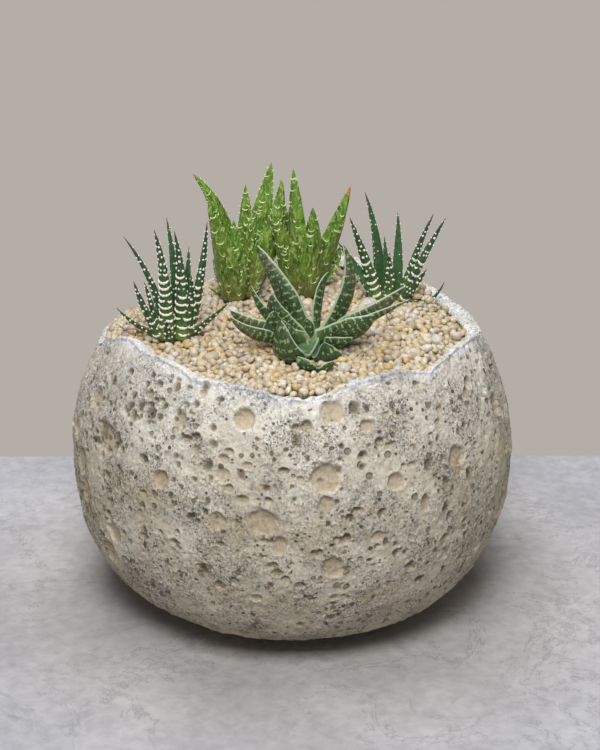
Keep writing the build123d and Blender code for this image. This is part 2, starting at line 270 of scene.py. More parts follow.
class Parts:
    """Many small closed forms gathered into one mesh, with values at each of their points."""

    def __init__(self, **usual):
        self.usual = usual
        self.points = []
        self.faces = []
        self.values = {key: [] for key in usual}
        self.count = 0

    def add(self, points, faces, **values):
        """Adds a form.  A value is one for all its points or one for each of them."""
        self.points.append(points)
        self.faces.append(faces + self.count)
        self.count += len(points)
        for key, usual in self.usual.items():
            shape = (len(points), *np.shape(usual))
            self.values[key].append(np.broadcast_to(values.get(key, usual), shape))

    def build(self, name, material):
        values = {key: np.concatenate(value) for key, value in self.values.items()}
        points = np.concatenate(self.points)
        return build_mesh(name, points, np.concatenate(self.faces), material, **values)


def grid_quads(rows, columns, wrap_rows, wrap_columns):
    """Quads over a grid of points numbered row by row."""
    row = np.arange(rows if wrap_rows else rows - 1)
    column = np.arange(columns if wrap_columns else columns - 1)
    row, column = np.meshgrid(row, column, indexing="ij")
    below = (row + 1) % rows
    right = (column + 1) % columns
    corners = (row, column), (row, right), (below, right), (below, column)
    return np.stack([(r * columns + c).reshape(-1) for r, c in corners], axis=1)


def split_quads(quads):
    """Two triangles for each quad."""
    return np.vstack([quads[:, (0, 1, 2)], quads[:, (0, 2, 3)]])


def tube_triangles(rings, sides):
    """Triangles of a closed tube of rings, whose foot and tip points come after the rings."""
    column = np.arange(sides)
    after = (column + 1) % sides
    foot = np.full(sides, rings * sides)
    last = (rings - 1) * sides
    start_cap = np.stack([column, foot, after], 1)
    end_cap = np.stack([last + after, foot + 1, last + column], 1)
    return np.vstack([split_quads(grid_quads(rings, sides, False, True)), start_cap, end_cap])


# ---------------------------------------------------------------- node materials
def colour_socket(sockets, name):
    """The Mix node has several sockets of one name; this finds the colour one."""
    return next(socket for socket in sockets if socket.name == name and socket.type == "RGBA")


class Shader:
    """A small helper that makes and links the nodes of one material."""

    def __init__(self, name):
        self.material = bpy.data.materials.new(name)
        self.material.use_nodes = True
        self.tree = self.material.node_tree
        self.tree.nodes.clear()
        self.output = self.tree.nodes.new("ShaderNodeOutputMaterial")
        self.surface = self.tree.nodes.new("ShaderNodeBsdfPrincipled")
        self.tree.links.new(self.surface.outputs[0], self.output.inputs["Surface"])
        self.place = self.tree.nodes.new("ShaderNodeTexCoord").outputs["Object"]

    def put(self, socket, value):
        if isinstance(value, bpy.types.NodeSocket):
            self.tree.links.new(value, socket)
        elif isinstance(value, (tuple, list)) and len(value) == 3 and socket.type == "RGBA":
            socket.default_value = (*value, 1)
        else:
            socket.default_value = value

    def set(self, **inputs):
        for key, value in inputs.items():
            self.put(self.surface.inputs[key.replace("_", " ")], value)

    def attribute(self, name, output="Fac"):
        node = self.tree.nodes.new("ShaderNodeAttribute")
        node.attribute_name = name
        return node.outputs[output]

    def axis(self, letter):
        """The place along one axis, in metres."""
        node = self.tree.nodes.new("ShaderNodeSeparateXYZ")
        self.put(node.inputs[0], self.place)
        return node.outputs[letter]

    def texture(self, kind, size_mm, vector):
        """A texture with features of about this size, over the place or a vector in mm."""
        node = self.tree.nodes.new(kind)
        self.put(node.inputs["Vector"], vector or self.place)
        node.inputs["Scale"].default_value = 1 / (size_mm * MM) if vector is None else 1 / size_mm
        return node

    def noise(self, size_mm, detail=3.0, roughness=0.55, vector=None, distortion=0.0):
        node = self.texture("ShaderNodeTexNoise", size_mm, vector)
        node.inputs["Detail"].default_value = detail
        node.inputs["Roughness"].default_value = roughness
        node.inputs["Distortion"].default_value = distortion
        return node.outputs["Fac"]

    def cells(self, size_mm, vector=None):
        """Distance to the nearest of scattered points, and a random colour for each point."""
        node = self.texture("ShaderNodeTexVoronoi", size_mm, vector)
        return node.outputs["Distance"], node.outputs["Color"]

    def ramp(self, value, *stops):
        """Maps a value to 0..1 or a colour by smooth stops of (position, value)."""
        node = self.tree.nodes.new("ShaderNodeValToRGB")
        self.put(node.inputs["Fac"], value)
        ramp = node.color_ramp
        while len(ramp.elements) < len(stops):
            ramp.elements.new(0.5)
        for element, (position, colour) in zip(ramp.elements, stops):
            element.position = position
            element.color = (*np.broadcast_to(colour, 3), 1)
        return node.outputs["Color"]

    def mix(self, amount, first, second, mode="MIX"):
        node = self.tree.nodes.new("ShaderNodeMix")
        node.data_type = "RGBA"
        node.blend_type = mode
        node.clamp_factor = True
        self.put(node.inputs[0], amount)
        self.put(colour_socket(node.inputs, "A"), first)
        self.put(colour_socket(node.inputs, "B"), second)
        return colour_socket(node.outputs, "Result")

    def shade(self, colour, factor):
        return self.mix(1.0, colour, factor, "MULTIPLY")

    def math(self, operation, first, second):
        node = self.tree.nodes.new("ShaderNodeMath")
        node.operation = operation
        self.put(node.inputs[0], first)
        self.put(node.inputs[1], second)
        return node.outputs[0]

    def plus(self, first, second):
        return self.math("ADD", first, second)

    def minus(self, first, second):
        return self.math("SUBTRACT", first, second)

    def times(self, first, second):
        return self.math("MULTIPLY", first, second)

    def rest(self, value, share):
        """What is left of one when a share of the value is taken away."""
        return self.minus(1.0, self.times(value, share))

    def vector(self, x, y, z):
        node = self.tree.nodes.new("ShaderNodeCombineXYZ")
        for socket, value in zip(node.inputs, (x, y, z)):
            self.put(socket, value)
        return node.outputs[0]

    def bump(self, height, depth_mm):
        node = self.tree.nodes.new("ShaderNodeBump")
        node.inputs["Distance"].default_value = depth_mm * MM
        self.put(node.inputs["Height"], height)
        return node.outputs[0]


# ---------------------------------------------------------------- materials
STONE_TOP = 0.16             # metres, at the highest point of the rim


def stone_material():
    """Cast concrete: grainy cream with grey and ochre patches, pores darkened with painted shade,
    and tan craters.
    """
    s = Shader("cast_stone")
    tan = s.attribute("tan")
    rim = s.attribute("rim")
    up = s.math("DIVIDE", s.axis("Z"), STONE_TOP)
    grain = s.noise(1.45, 4, 0.8, distortion=0.3)

    # The ground is cream.  It has ochre and grey patches, and is paler above; below it is warmer,
    # and darker with painted shade.
    cream = (0.38, (0.58, 0.515, 0.395)), (0.50, (0.68, 0.63, 0.52)), (0.62, (0.75, 0.715, 0.62))
    colour = s.ramp(s.noise(40, 4, 0.6), *cream)
    ochre = s.ramp(s.noise(11, 4, 0.6), (0.52, 0), (0.64, 0.6))
    colour = s.mix(ochre, colour, (0.55, 0.47, 0.34))
    grey = s.ramp(s.noise(17, 5, 0.65, distortion=0.8), (0.56, 0), (0.66, 0.55))
    colour = s.mix(grey, colour, (0.41, 0.41, 0.385))
    colour = s.mix(s.ramp(up, (0.60, 0), (0.95, 0.6)), colour, (0.74, 0.73, 0.70))
    # Painted shade: the lower part is darkened as well as warmed.
    colour = s.mix(s.ramp(up, (0.15, 0.5), (0.60, 0)), colour, (0.50, 0.435, 0.325))
    colour = s.mix(s.times(s.attribute("worn"), 0.35), colour, (0.40, 0.385, 0.35))

    # Rough zones are speckled light and dark, and some zones have nearly black grains.
    speckle = s.ramp(grain, (0.38, 0.28), (0.45, 0.82), (0.54, 1.06), (0.66, 1.45))
    rough_zone = s.ramp(s.noise(24, 4, 0.6), (0.42, 0.30), (0.60, 1.0))
    colour = s.mix(rough_zone, colour, s.shade(colour, speckle))
    dark_grain = s.ramp(s.noise(1.0, 3, 0.8), (0.41, 1), (0.46, 0))
    dark_zone = s.ramp(s.noise(19, 5, 0.65), (0.46, 0.10), (0.60, 1.0))
    dark_grain = s.times(dark_grain, dark_zone)
    colour = s.mix(s.times(dark_grain, 0.9), colour, (0.14, 0.135, 0.125))

    # Craters have tan floors, the pits are darkened with painted shade, and the broken rim is
    # whitish.
    crater_floor = s.shade((0.50, 0.415, 0.295), s.ramp(grain, (0.35, 0.80), (0.65, 1.12)))
    colour = s.mix(s.times(tan, 0.82), colour, crater_floor)
    # Painted shade in the pits, read from their painted shade attribute.
    painted_pit_shade = s.ramp(s.attribute("painted_pit_shade"), (0.12, 0), (0.7, 0.85))
    colour = s.mix(painted_pit_shade, colour, (0.175, 0.14, 0.085))
    stain = s.ramp(s.noise(2.6, 4, 0.7), (0.37, 0.7), (0.47, 0))
    white = s.mix(stain, (0.80, 0.81, 0.83), (0.38, 0.40, 0.42))
    white = s.shade(white, s.ramp(grain, (0.38, 0.50), (0.47, 0.92), (0.62, 1.12)))
    bare = s.ramp(s.noise(9, 4, 0.7), (0.38, 0.3), (0.5, 1.0))
    colour = s.mix(s.times(s.ramp(rim, (0.15, 0), (0.85, 0.95)), bare), colour, white)

    def pore(size_mm, power, widest):
        """Round pores at scattered points, most of them small."""
        near, random = s.cells(size_mm)
        return s.math("LESS_THAN", near, s.times(s.math("POWER", random, power), widest))

    # Tan floors and the rim have neither pores nor the wider, softer hollows.
    smooth = s.minus(1.0, s.math("MAXIMUM", s.times(tan, 0.85), rim))
    pores = s.times(s.math("MAXIMUM", pore(4.2, 4.0, 0.42), pore(2.0, 6.0, 0.55)), smooth)
    near, random = s.cells(5.5)
    widest = s.ramp(s.noise(45, 3), (0.40, 0.34), (0.58, 0.48))
    edge = s.times(s.math("POWER", random, 1.4), widest)
    hollow = s.times(s.ramp(s.math("DIVIDE", near, edge), (0.72, 1), (1.0, 0)), smooth)
    # Painted shade: the hollows are darkened and the pores made nearly black, besides being pressed
    # in by the bump.
    colour = s.mix(s.times(hollow, 0.72), colour, (0.20, 0.165, 0.10))
    colour = s.mix(s.times(pores, 0.85), colour, (0.06, 0.05, 0.038))
    relief = s.plus(grain, s.times(dark_grain, -0.35))
    relief = s.times(s.times(relief, s.rest(tan, 0.6)), rough_zone)
    relief = s.minus(s.minus(relief, s.times(pores, 0.6)), s.times(hollow, 0.8))
    roughness = s.ramp(grain, (0.3, 0.97), (0.7, 0.85))
    s.set(Base_Color=colour, Roughness=roughness, Normal=s.bump(relief, 1.5))
    s.set(Specular_IOR_Level=0.2)
    return s.material


def gravel_material():
    """Rounded quartz: each stone has its own tint, with veins, a waxy skin and slight glow."""
    s = Shader("quartz_gravel")
    tint = s.attribute("tint", "Color")
    veins = s.noise(2.2, 4, 0.65, distortion=0.8)
    colour = s.mix(s.ramp(veins, (0.44, 0), (0.66, 0.6)), tint, (0.84, 0.78, 0.66))
    stain = s.ramp(s.noise(3.1, 3), (0.56, 0), (0.70, 0.5))
    colour = s.mix(stain, colour, (0.66, 0.42, 0.17))
    colour = s.shade(colour, s.ramp(s.noise(0.6, 2), (0.35, 0.56), (0.65, 0.80)))
    s.set(
        Base_Color=colour,
        Roughness=s.ramp(veins, (0.35, 0.34), (0.7, 0.56)),
        Normal=s.bump(s.noise(0.9, 3), 0.18),
        Subsurface_Weight=0.12,
        Subsurface_Radius=(0.004, 0.0026, 0.0014),
        Subsurface_Scale=0.4,
    )
    return s.material


def fleshy(shader, colour, roughness, normal, glow):
    """The settings shared by all leaves: a soft sheen and a little light through the flesh."""
    shader.set(
        Base_Color=colour,
        Roughness=roughness,
        Normal=normal,
        Subsurface_Weight=glow,
        Subsurface_Radius=(0.0013, 0.0026, 0.0007),
        Subsurface_Scale=0.5,
    )
    return shader.material


def haworthia_material():
    """Dark green, slightly waxy skin; the raised warts and bands are chalk white."""
    s = Shader("haworthia_leaf")
    along = s.attribute("along")
    white = s.attribute("white")
    skin = s.ramp(
        along,
        (0.0, (0.17, 0.24, 0.06)),
        (0.20, (0.055, 0.115, 0.035)),
        (0.85, (0.028, 0.072, 0.036)),
        (1.0, (0.09, 0.05, 0.03)),
    )
    skin = s.mix(s.times(s.attribute("inside"), 0.6), skin, (0.05, 0.135, 0.05))
    skin = s.shade(skin, s.ramp(s.noise(1.6, 3), (0.35, 0.72), (0.65, 1.3)))
    dull = s.ramp(s.noise(0.8, 2), (0.4, 0), (0.7, 0.6))
    chalk = s.mix(dull, (0.86, 0.88, 0.76), (0.66, 0.71, 0.52))
    roughness = s.plus(s.times(white, 0.25), 0.42)
    return fleshy(s, s.mix(white, skin, chalk), roughness, s.bump(s.noise(0.5, 2), 0.06), 0.06)


def aloe_material():
    """Fresh yellow-green flesh marbled with long pale streaks, olive at the foot."""
    s = Shader("aloe_leaf")
    along = s.attribute("along")
    stretched = s.times(s.attribute("along_mm"), 0.30)
    long_way = s.vector(s.attribute("across_mm"), stretched, s.attribute("leaf"))
    skin = s.ramp(
        along,
        (0.0, (0.14, 0.14, 0.04)),
        (0.14, (0.12, 0.18, 0.025)),
        (0.40, (0.085, 0.185, 0.016)),
        (1.0, (0.125, 0.265, 0.025)),
    )
    patches = s.ramp(s.noise(6, 3, vector=long_way), (0.44, 0), (0.66, 0.6))
    skin = s.mix(patches, skin, (0.21, 0.34, 0.04))
    marble = s.noise(1.9, 4, 0.65, vector=long_way, distortion=0.5)
    skin = s.shade(skin, s.ramp(marble, (0.36, 0.45), (0.50, 0.92), (0.64, 1.4)))
    streaks = s.ramp(s.noise(1.1, 3, 0.65, vector=long_way), (0.50, 0), (0.62, 0.8))
    colour = s.mix(streaks, skin, (0.40, 0.52, 0.17))
    foot = s.ramp(along, (0.02, 1), (0.30, 0))
    olive = s.times(foot, s.ramp(marble, (0.40, 0.8), (0.6, 0.2)))
    colour = s.mix(olive, colour, (0.15, 0.13, 0.045))
    colour = s.mix(s.times(s.attribute("rust"), 0.9), colour, (0.55, 0.10, 0.02))
    colour = s.mix(s.attribute("white"), colour, (0.62, 0.76, 0.38))
    return fleshy(s, colour, 0.40, s.bump(s.plus(marble, streaks), 0.25), 0.10)


def gasteria_material():
    """Dark green skin with crossing rows of pale spots and a thin pale horny margin."""
    s = Shader("gasteria_leaf")
    along = s.attribute("along")
    along_mm = s.attribute("along_mm")
    flat = s.vector(s.attribute("across_mm"), along_mm, s.attribute("leaf"))
    inside = s.attribute("inside")
    skin = s.ramp(
        along,
        (0.0, (0.36, 0.42, 0.24)),
        (0.07, (0.085, 0.145, 0.045)),
        (0.20, (0.026, 0.064, 0.024)),
        (1.0, (0.034, 0.076, 0.034)),
    )
    skin = s.mix(s.times(inside, 0.6), skin, (0.075, 0.135, 0.07))
    skin = s.shade(skin, s.ramp(s.noise(2.2, 3), (0.35, 0.75), (0.65, 1.25)))
    patches = s.ramp(s.noise(3.0, 3, vector=flat), (0.42, 0), (0.58, 0.8))
    skin = s.mix(s.times(s.attribute("brown"), patches), skin, (0.17, 0.13, 0.095))
    sway = s.times(s.noise(4.0, 2, vector=flat), 5.0)
    rows = s.math("SINE", s.plus(s.times(along_mm, 1.9), sway), 0.0)
    near, _ = s.cells(1.15, vector=flat)
    spots = s.times(s.ramp(near, (0.46, 1), (0.58, 0)), s.ramp(rows, (0.25, 0.12), (0.65, 1.0)))
    spots = s.times(spots, s.ramp(along, (0.10, 0), (0.22, 1)))
    spots = s.times(spots, s.rest(inside, 0.5))
    colour = s.mix(spots, skin, (0.29, 0.38, 0.15))
    margin = s.ramp(s.attribute("margin_mm"), (0.10, 0.85), (0.30, 0))
    colour = s.mix(margin, colour, (0.42, 0.52, 0.36))
    return fleshy(s, colour, 0.44, s.bump(s.noise(0.7, 2), 0.08), 0.05)


def grained_material(name, dark, light, grain_mm, bump_mm, roughness):
    """A plain two-tone material with grain, for the pieces that are hidden or underneath."""
    s = Shader(name)
    grain = s.noise(grain_mm, 4, 0.65)
    clumps, _ = s.cells(grain_mm * 2.2)
    tone = s.plus(s.times(grain, 0.7), s.times(clumps, 0.4))
    s.set(
        Base_Color=s.ramp(tone, (0.35, dark), (0.7, light)),
        Roughness=s.ramp(grain, (0.3, roughness), (0.7, roughness - 0.12)),
        Normal=s.bump(tone, bump_mm),
    )
    return s.material


# ---------------------------------------------------------------- the bowl
def curve_radius(height, radius, lower_depth, upper_depth):
    """Radius at a height of two superellipses that meet at the belly."""
    height = np.asarray(height, float)
    below = height < BELLY_HEIGHT
    depth = np.where(below, lower_depth, upper_depth)
    power = np.where(below, LOWER_POWER, UPPER_POWER)
    reach = np.abs(height - BELLY_HEIGHT) / depth
    return radius * np.clip(1 - reach**power, 0, None) ** (1 / power)


def outer_radius(height):
    return curve_radius(height, BELLY_RADIUS, LOWER_DEPTH, UPPER_DEPTH)


def inner_radius(height):
    return curve_radius(height, BELLY_RADIUS - WALL, INNER_LOWER_DEPTH, INNER_UPPER_DEPTH)


def rim_height(angle):
    """Rim height at angles in radians: a smooth closed curve through the wave's points."""
    knots = np.array([a for a, _ in RIM_WAVE], float)
    heights = np.array([h for _, h in RIM_WAVE], float)
    knots = np.concatenate([knots - 360, knots, knots + 360])
    heights = np.tile(heights, 3)
    slopes = np.gradient(heights, knots)
    degrees = (np.degrees(angle) + 180) % 360 - 180
    at = np.clip(np.searchsorted(knots, degrees, side="right") - 1, 0, len(knots) - 2)
    span = knots[at + 1] - knots[at]
    t = (degrees - knots[at]) / span
    start = (1 + 2 * t) * (1 - t) ** 2 * heights[at] + t * (1 - t) ** 2 * span * slopes[at]
    end = t * t * (3 - 2 * t) * heights[at + 1] + t * t * (t - 1) * span * slopes[at + 1]
    return start + end


BOWL_COLUMNS = 1200
OUTER_ROWS = 330
RIM_ROWS = 22
INNER_ROWS = 26
RIM_ROUNDING = 2.4
RIM_SQUARENESS = 0.62        # 1 is a round lip, and less is a squarer one
RIM_FALL = 2.6               # the rim's top falls this much towards the inside
VISIBLE_INNER = 128.0        # the inner wall is modelled finely down to here
TABLE_TOP = 168.0            # above the highest point of the rim
FIRST_OUTER_ROW = 44         # rows before the turn up from the foot
FOOT_ROWS = 18
LAST_OUTER_ROW = FIRST_OUTER_ROW + FOOT_ROWS + OUTER_ROWS


def bowl_sections():
    """Angle of each column, then (rows, columns) of radius, height, outer and rim share."""
    angle = np.arange(BOWL_COLUMNS) / BOWL_COLUMNS * 2 * math.pi
    table_height = np.linspace(2 * FOOT_HEIGHT, TABLE_TOP, 500)
    table_radius = outer_radius(table_height)
    steps = np.hypot(np.diff(table_radius), np.diff(table_height))
    length = np.concatenate([[0], np.cumsum(steps)])
    circle = np.stack([100 * np.cos(angle), 100 * np.sin(angle), 0 * angle], 1)
    crest = rim_height(angle) + 0.9 * layered_noise(circle, 9, 5) - 0.3
    shoulder = crest - RIM_ROUNDING
    rows = []

    def add(*values):
        rows.append([np.broadcast_to(value, angle.shape) for value in values])

    def add_line(start, end, count, outer=0.0, first=0):
        """Rows from start towards end, each (radius, height), without the end itself."""
        for t in np.arange(first, count) / count:
            r, z = (a * (1 - t) + b * t for a, b in zip(start, end))
            add(r, z, outer, 0.0)

    # Under the bowl, from the drain hole out to the foot and up over its ledge.
    seat = UNDERSIDE + RECESS_DEPTH
    add_line((DRAIN_RADIUS, seat), (RECESS_RADIUS, seat), 3)
    add_line((RECESS_RADIUS, seat), (RECESS_RADIUS, UNDERSIDE), 4)
    add_line((RECESS_RADIUS, UNDERSIDE), (FOOT_RADIUS - 1, UNDERSIDE), 24)
    add_line((FOOT_RADIUS - 1, UNDERSIDE), (FOOT_RADIUS, UNDERSIDE + 1), 2)
    add_line((FOOT_RADIUS, UNDERSIDE + 1), (FOOT_RADIUS, FOOT_HEIGHT), 5, 0.6)
    add_line((FOOT_RADIUS, FOOT_HEIGHT), (FOOT_SHOULDER, FOOT_HEIGHT), 6, 0.6)
    add_line((FOOT_SHOULDER, FOOT_HEIGHT), (table_radius[0], table_height[0]), FOOT_ROWS, 0.6)

    # The outside, in equal steps along its curve, and the lip.
    top_length = np.interp(shoulder, table_height, length)
    for step in range(OUTER_ROWS):
        z = np.interp(top_length * step / OUTER_ROWS, length, table_height)
        add(outer_radius(z), z, 1, smooth_step(3.2, -0.4, shoulder - z))
    centre = (outer_radius(shoulder) + inner_radius(shoulder)) / 2
    half = (outer_radius(shoulder) - inner_radius(shoulder)) / 2
    for step in range(RIM_ROWS + 1):
        turn = math.pi * step / RIM_ROWS
        across = math.copysign(abs(math.cos(turn)) ** RIM_SQUARENESS, math.cos(turn))
        rise = RIM_ROUNDING * math.sin(turn) ** RIM_SQUARENESS - RIM_FALL * (1 - across) / 2
        add(centre + half * across, shoulder + rise, 1, 1.0)

    # The inside, down to the floor and back to the drain hole.
    inner_top = shoulder - RIM_FALL
    for step in range(1, INNER_ROWS + 1):
        z = inner_top + (VISIBLE_INNER - inner_top) * step / INNER_ROWS
        add(inner_radius(z), z, 0.5, smooth_step(5, 1, inner_top - z))
    for z in np.linspace(VISIBLE_INNER, FLOOR_THICKNESS, 14)[1:]:
        add(inner_radius(z), z, 0, 0.0)
    floor_edge = (inner_radius(FLOOR_THICKNESS), FLOOR_THICKNESS)
    add_line(floor_edge, (DRAIN_RADIUS, FLOOR_THICKNESS), 8, first=1)
    add_line((DRAIN_RADIUS, FLOOR_THICKNESS), (DRAIN_RADIUS, seat), 4)
    return angle, *np.array(rows).transpose(1, 0, 2)


def grid_normals(points):
    """Outward normals of a closed grid of points, by central differences."""
    down = np.roll(points, -1, axis=0) - np.roll(points, 1, axis=0)
    across = np.roll(points, -1, axis=1) - np.roll(points, 1, axis=1)
    return unit(np.cross(across, down))


# Where small pits crowd together: (degrees from +X, height, spread in degrees, spread in height).
CLUSTERS = [(-138, 134, 20, 12), (-150, 112, 14, 12), (60, 130, 26, 16), (140, 120, 30, 18)]
PITS_PER_CLUSTER = 40
PINHOLES = 620
PORES = 460                  # larger, some with a tan floor
DISHES = 60                  # wide and shallow, on the sides and the back


def all_pits(rng):
    """Every pit as (degrees, height, radius, depth, tan share): the stated and random ones."""
    pits = [(*crater, 1.0) for crater in CRATERS]
    pits += [(angle, z, size, 0.34 * size, 0.8) for angle, z, size in TAN_PITS]
    pits += [(angle, z, size, 0.85 * size, 0.0) for angle, z, size in DEEP_PITS]
    for middle, height, spread_angle, spread_height in CLUSTERS:
        for _ in range(PITS_PER_CLUSTER):
            size = rng.uniform(0.9, 2.3)
            angle = rng.normal(middle, spread_angle / 2)
            pits.append((angle, rng.normal(height, spread_height / 2), size, 0.8 * size, 0.0))
    for _ in range(PINHOLES):
        size = 0.7 + 0.9 * rng.random() ** 2
        angle = rng.uniform(-180, 180)
        pits.append((angle, rng.uniform(12, 152), size, size * rng.uniform(0.6, 1.1), 0.0))
    for _ in range(PORES):
        size = 1.2 + 1.9 * rng.random() ** 1.6
        angle = rng.uniform(-180, 180)
        tan = rng.choice((0.0, 0.3, 0.6))
        pits.append((angle, rng.uniform(14, 152), size, size * rng.uniform(0.55, 0.85), tan))
    for _ in range(DISHES):
        size = rng.uniform(2.5, 9)
        angle = rng.uniform(-25, 215)
        pits.append((angle, rng.uniform(24, 142), size, size * rng.uniform(0.12, 0.25), 0.7))
    return pits


PIT_REACH = 1.7              # a pit changes nothing beyond this many of its radii
ROW_STEP = 0.55              # between the outer rows, about


def press_pits(points, height, pits):
    """Depth, painted shade, tan share and raised lip that the pits give to the grid."""
    depth, painted_pit_shade, tan, lip = (np.zeros(height.shape) for _ in range(4))
    warp = layered_noise(points.reshape(-1, 3), 3.2, 31, 2).reshape(height.shape)
    for angle, z, size, deep, tan_share in pits:
        column = int(round(angle / 360 * BOWL_COLUMNS)) % BOWL_COLUMNS
        outside = height[FIRST_OUTER_ROW:LAST_OUTER_ROW, column]
        row = FIRST_OUTER_ROW + int(np.searchsorted(outside, z))
        if row >= LAST_OUTER_ROW - 1:
            continue
        centre = points[row, column]
        spacing = np.linalg.norm(points[row, (column + 1) % BOWL_COLUMNS] - centre)
        wide = int(PIT_REACH * size / spacing) + 2
        tall = int(PIT_REACH * size / ROW_STEP) + 4
        rows = np.arange(
            max(FIRST_OUTER_ROW - 20, row - tall), min(LAST_OUTER_ROW + 8, row + tall + 1)
        )
        columns = np.arange(column - wide, column + wide + 1) % BOWL_COLUMNS
        block = np.ix_(rows, columns)
        away = points[block] - centre
        away[..., 2] *= 1 + 0.35 * math.sin(3.7 * angle + z) * (size < 4)
        uneven = 0.16 if size > 3 else 0.26
        reach = np.linalg.norm(away, axis=2) / size * (1 + uneven * warp[block])
        if tan_share > 0:
            dish = smooth_step(1.02, 0.74, reach) * 0.8 + 0.2 * np.clip(1 - reach**2, 0, 1)
            # Painted shadow under each pit's upper lip, above a lighter painted shade over the whole
            # pit.
            overhang_shadow = 0.9 * smooth_step(-0.2, 0.7, away[..., 2] / size)
            shade = np.clip(1.2 - reach, 0, 0.45) * 1.8 * (0.25 * (1 - tan_share) + overhang_shadow)
            shade *= 1.0 if size < 3.5 else 0.55
        else:
            dish = np.clip(1 - reach**2.4, 0, 1) ** 0.7
            # Painted shade in the narrow pits, darker the deeper they are.
            shade = np.clip(1.25 - reach, 0, 1) * min(1.0, deep / size + 0.1)
        ring = np.exp(-(((reach - 1.14) / 0.14) ** 2))
        for field, value in (
            (depth, deep * dish),
            (painted_pit_shade, shade),
            (tan, tan_share * smooth_step(1.0, 0.84, reach)),
            (lip, 0.14 * deep * ring),
        ):
            field[block] = np.maximum(field[block], value)
    return depth, painted_pit_shade, tan, lip


# Darker, worn zones: (degrees from +X, height, reach).
WORN_ZONES = [(-145, 128, 30), (150, 110, 34), (40, 60, 40)]


def make_bowl(material):
    """The wall as one closed grid, pushed in and out by lumps, ledges, skin, pits and chips.

    Its points carry the painted shade of the pits, and how far they are on tan ground, on the rim
    and in a worn zone."""
    angle, radius, height, outer, rim = bowl_sections()
    points = np.stack([radius * np.cos(angle), radius * np.sin(angle), height], axis=2)
    normal = grid_normals(points)
    depth, painted_pit_shade, tan, lip = press_pits(points, height, all_pits(np.random.default_rng(11)))
    flat = points.reshape(-1, 3)
    lumps = 0.35 * layered_noise(flat, 24, 3, 2) + 0.24 * layered_noise(flat, 7, 7, 2)
    ledges = 0.45 * smooth_step(-0.07, 0.07, layered_noise(flat, 36, 41, 4))
    ledges += 0.35 * smooth_step(-0.08, 0.06, layered_noise(flat, 15, 43, 4)) - 0.4
    skin = 0.26 * layered_noise(flat, 2.1, 13, 2)
    skin = skin.reshape(height.shape) * (1 - 0.75 * tan)
    chips = (np.clip(layered_noise(flat, 5, 23, 3) - 0.15, 0, None) * 1.5).reshape(height.shape)
    push = ((lumps + ledges).reshape(height.shape) + skin) * outer
    push += (lip - depth) * np.minimum(outer * 2, 1) * (1 - 0.8 * rim)
    push -= chips * rim * 0.7
    points = points + normal * push[:, :, None]
    turn = np.degrees(np.arctan2(points[..., 1], points[..., 0]))
    worn = np.zeros(height.shape)
    for worn_turn, worn_height, reach in WORN_ZONES:
        away = np.hypot((turn - worn_turn) * 1.9, points[..., 2] - worn_height) / reach
        worn = np.maximum(worn, np.exp(-(away**2)))
    rim = rim * smooth_step(0.55, 0.1, chips)
    values = {"painted_pit_shade": painted_pit_shade, "tan": tan, "rim": rim, "worn": worn}
    values = {key: value.reshape(-1) for key, value in values.items()}
    quads = grid_quads(*height.shape, True, True)[:, ::-1]
    bowl = build_mesh("stone_bowl", points.reshape(-1, 3), quads, material, **values)
    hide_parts("bowl_shell")


# ---------------------------------------------------------------- gravel
HEAP_AT = (76.0, 52.0)       # loose stones lie heaped up to the rim at the back right
HEAP_REACH = 25.0
HEAP_RISE = 8.0
FRONT_RISE = 2.6             # the loose stones stand this much higher at the front wall
MOUTH_RADIUS = 84.0          # the stones are first strewn within this reach
PUSHES = 36


def gravel_level(x, y):
    """Height of the gravel: cambered, low by the low side of the rim, heaped at the back right."""
    turn = math.radians(SPILL_TURN)
    outward = x * math.cos(turn) + y * math.sin(turn)
    spill = SPILL_TOP - SPILL_SLOPE * (outward - SPILL_START)
    level = np.minimum(GRAVEL_TOP + GRAVEL_SLOPE * y - x**2 / (2 * GRAVEL_CAMBER), spill)
    away = np.hypot(x - HEAP_AT[0], y - HEAP_AT[1])
    return level + HEAP_RISE * smooth_step(HEAP_REACH, HEAP_REACH / 6, away)


def sphere_form(divisions):
    """Unit sphere points and triangles from a subdivided icosahedron."""
    form = bmesh.new()
    bmesh.ops.create_icosphere(form, subdivisions=divisions, radius=1)
    points = np.array([vertex.co for vertex in form.verts])
    faces = np.array([[vertex.index for vertex in face.verts] for face in form.faces])
    form.free()
    return points, faces


# Tints of the quartz, each with its share among the stones.
PALETTE = [
    ((0.80, 0.68, 0.48), 26), ((0.87, 0.79, 0.63), 20), ((0.76, 0.60, 0.36), 15),
    ((0.72, 0.50, 0.21), 10), ((0.60, 0.49, 0.37), 8), ((0.54, 0.45, 0.35), 5),
    ((0.80, 0.58, 0.26), 9), ((0.82, 0.63, 0.44), 5), ((0.68, 0.40, 0.16), 2),
    ((0.90, 0.87, 0.81), 7),
]


def random_turns(rng, count):
    """Random rotation matrices, from random unit quaternions."""
    w, x, y, z = unit(rng.normal(size=(count, 4))).T
    rows = (
        (1 - 2 * (y * y + z * z), 2 * (x * y - z * w), 2 * (x * z + y * w)),
        (2 * (x * y + z * w), 1 - 2 * (x * x + z * z), 2 * (y * z - x * w)),
        (2 * (x * z - y * w), 2 * (y * z + x * w), 1 - 2 * (x * x + y * y)),
    )
    return np.array(rows).transpose(2, 0, 1)


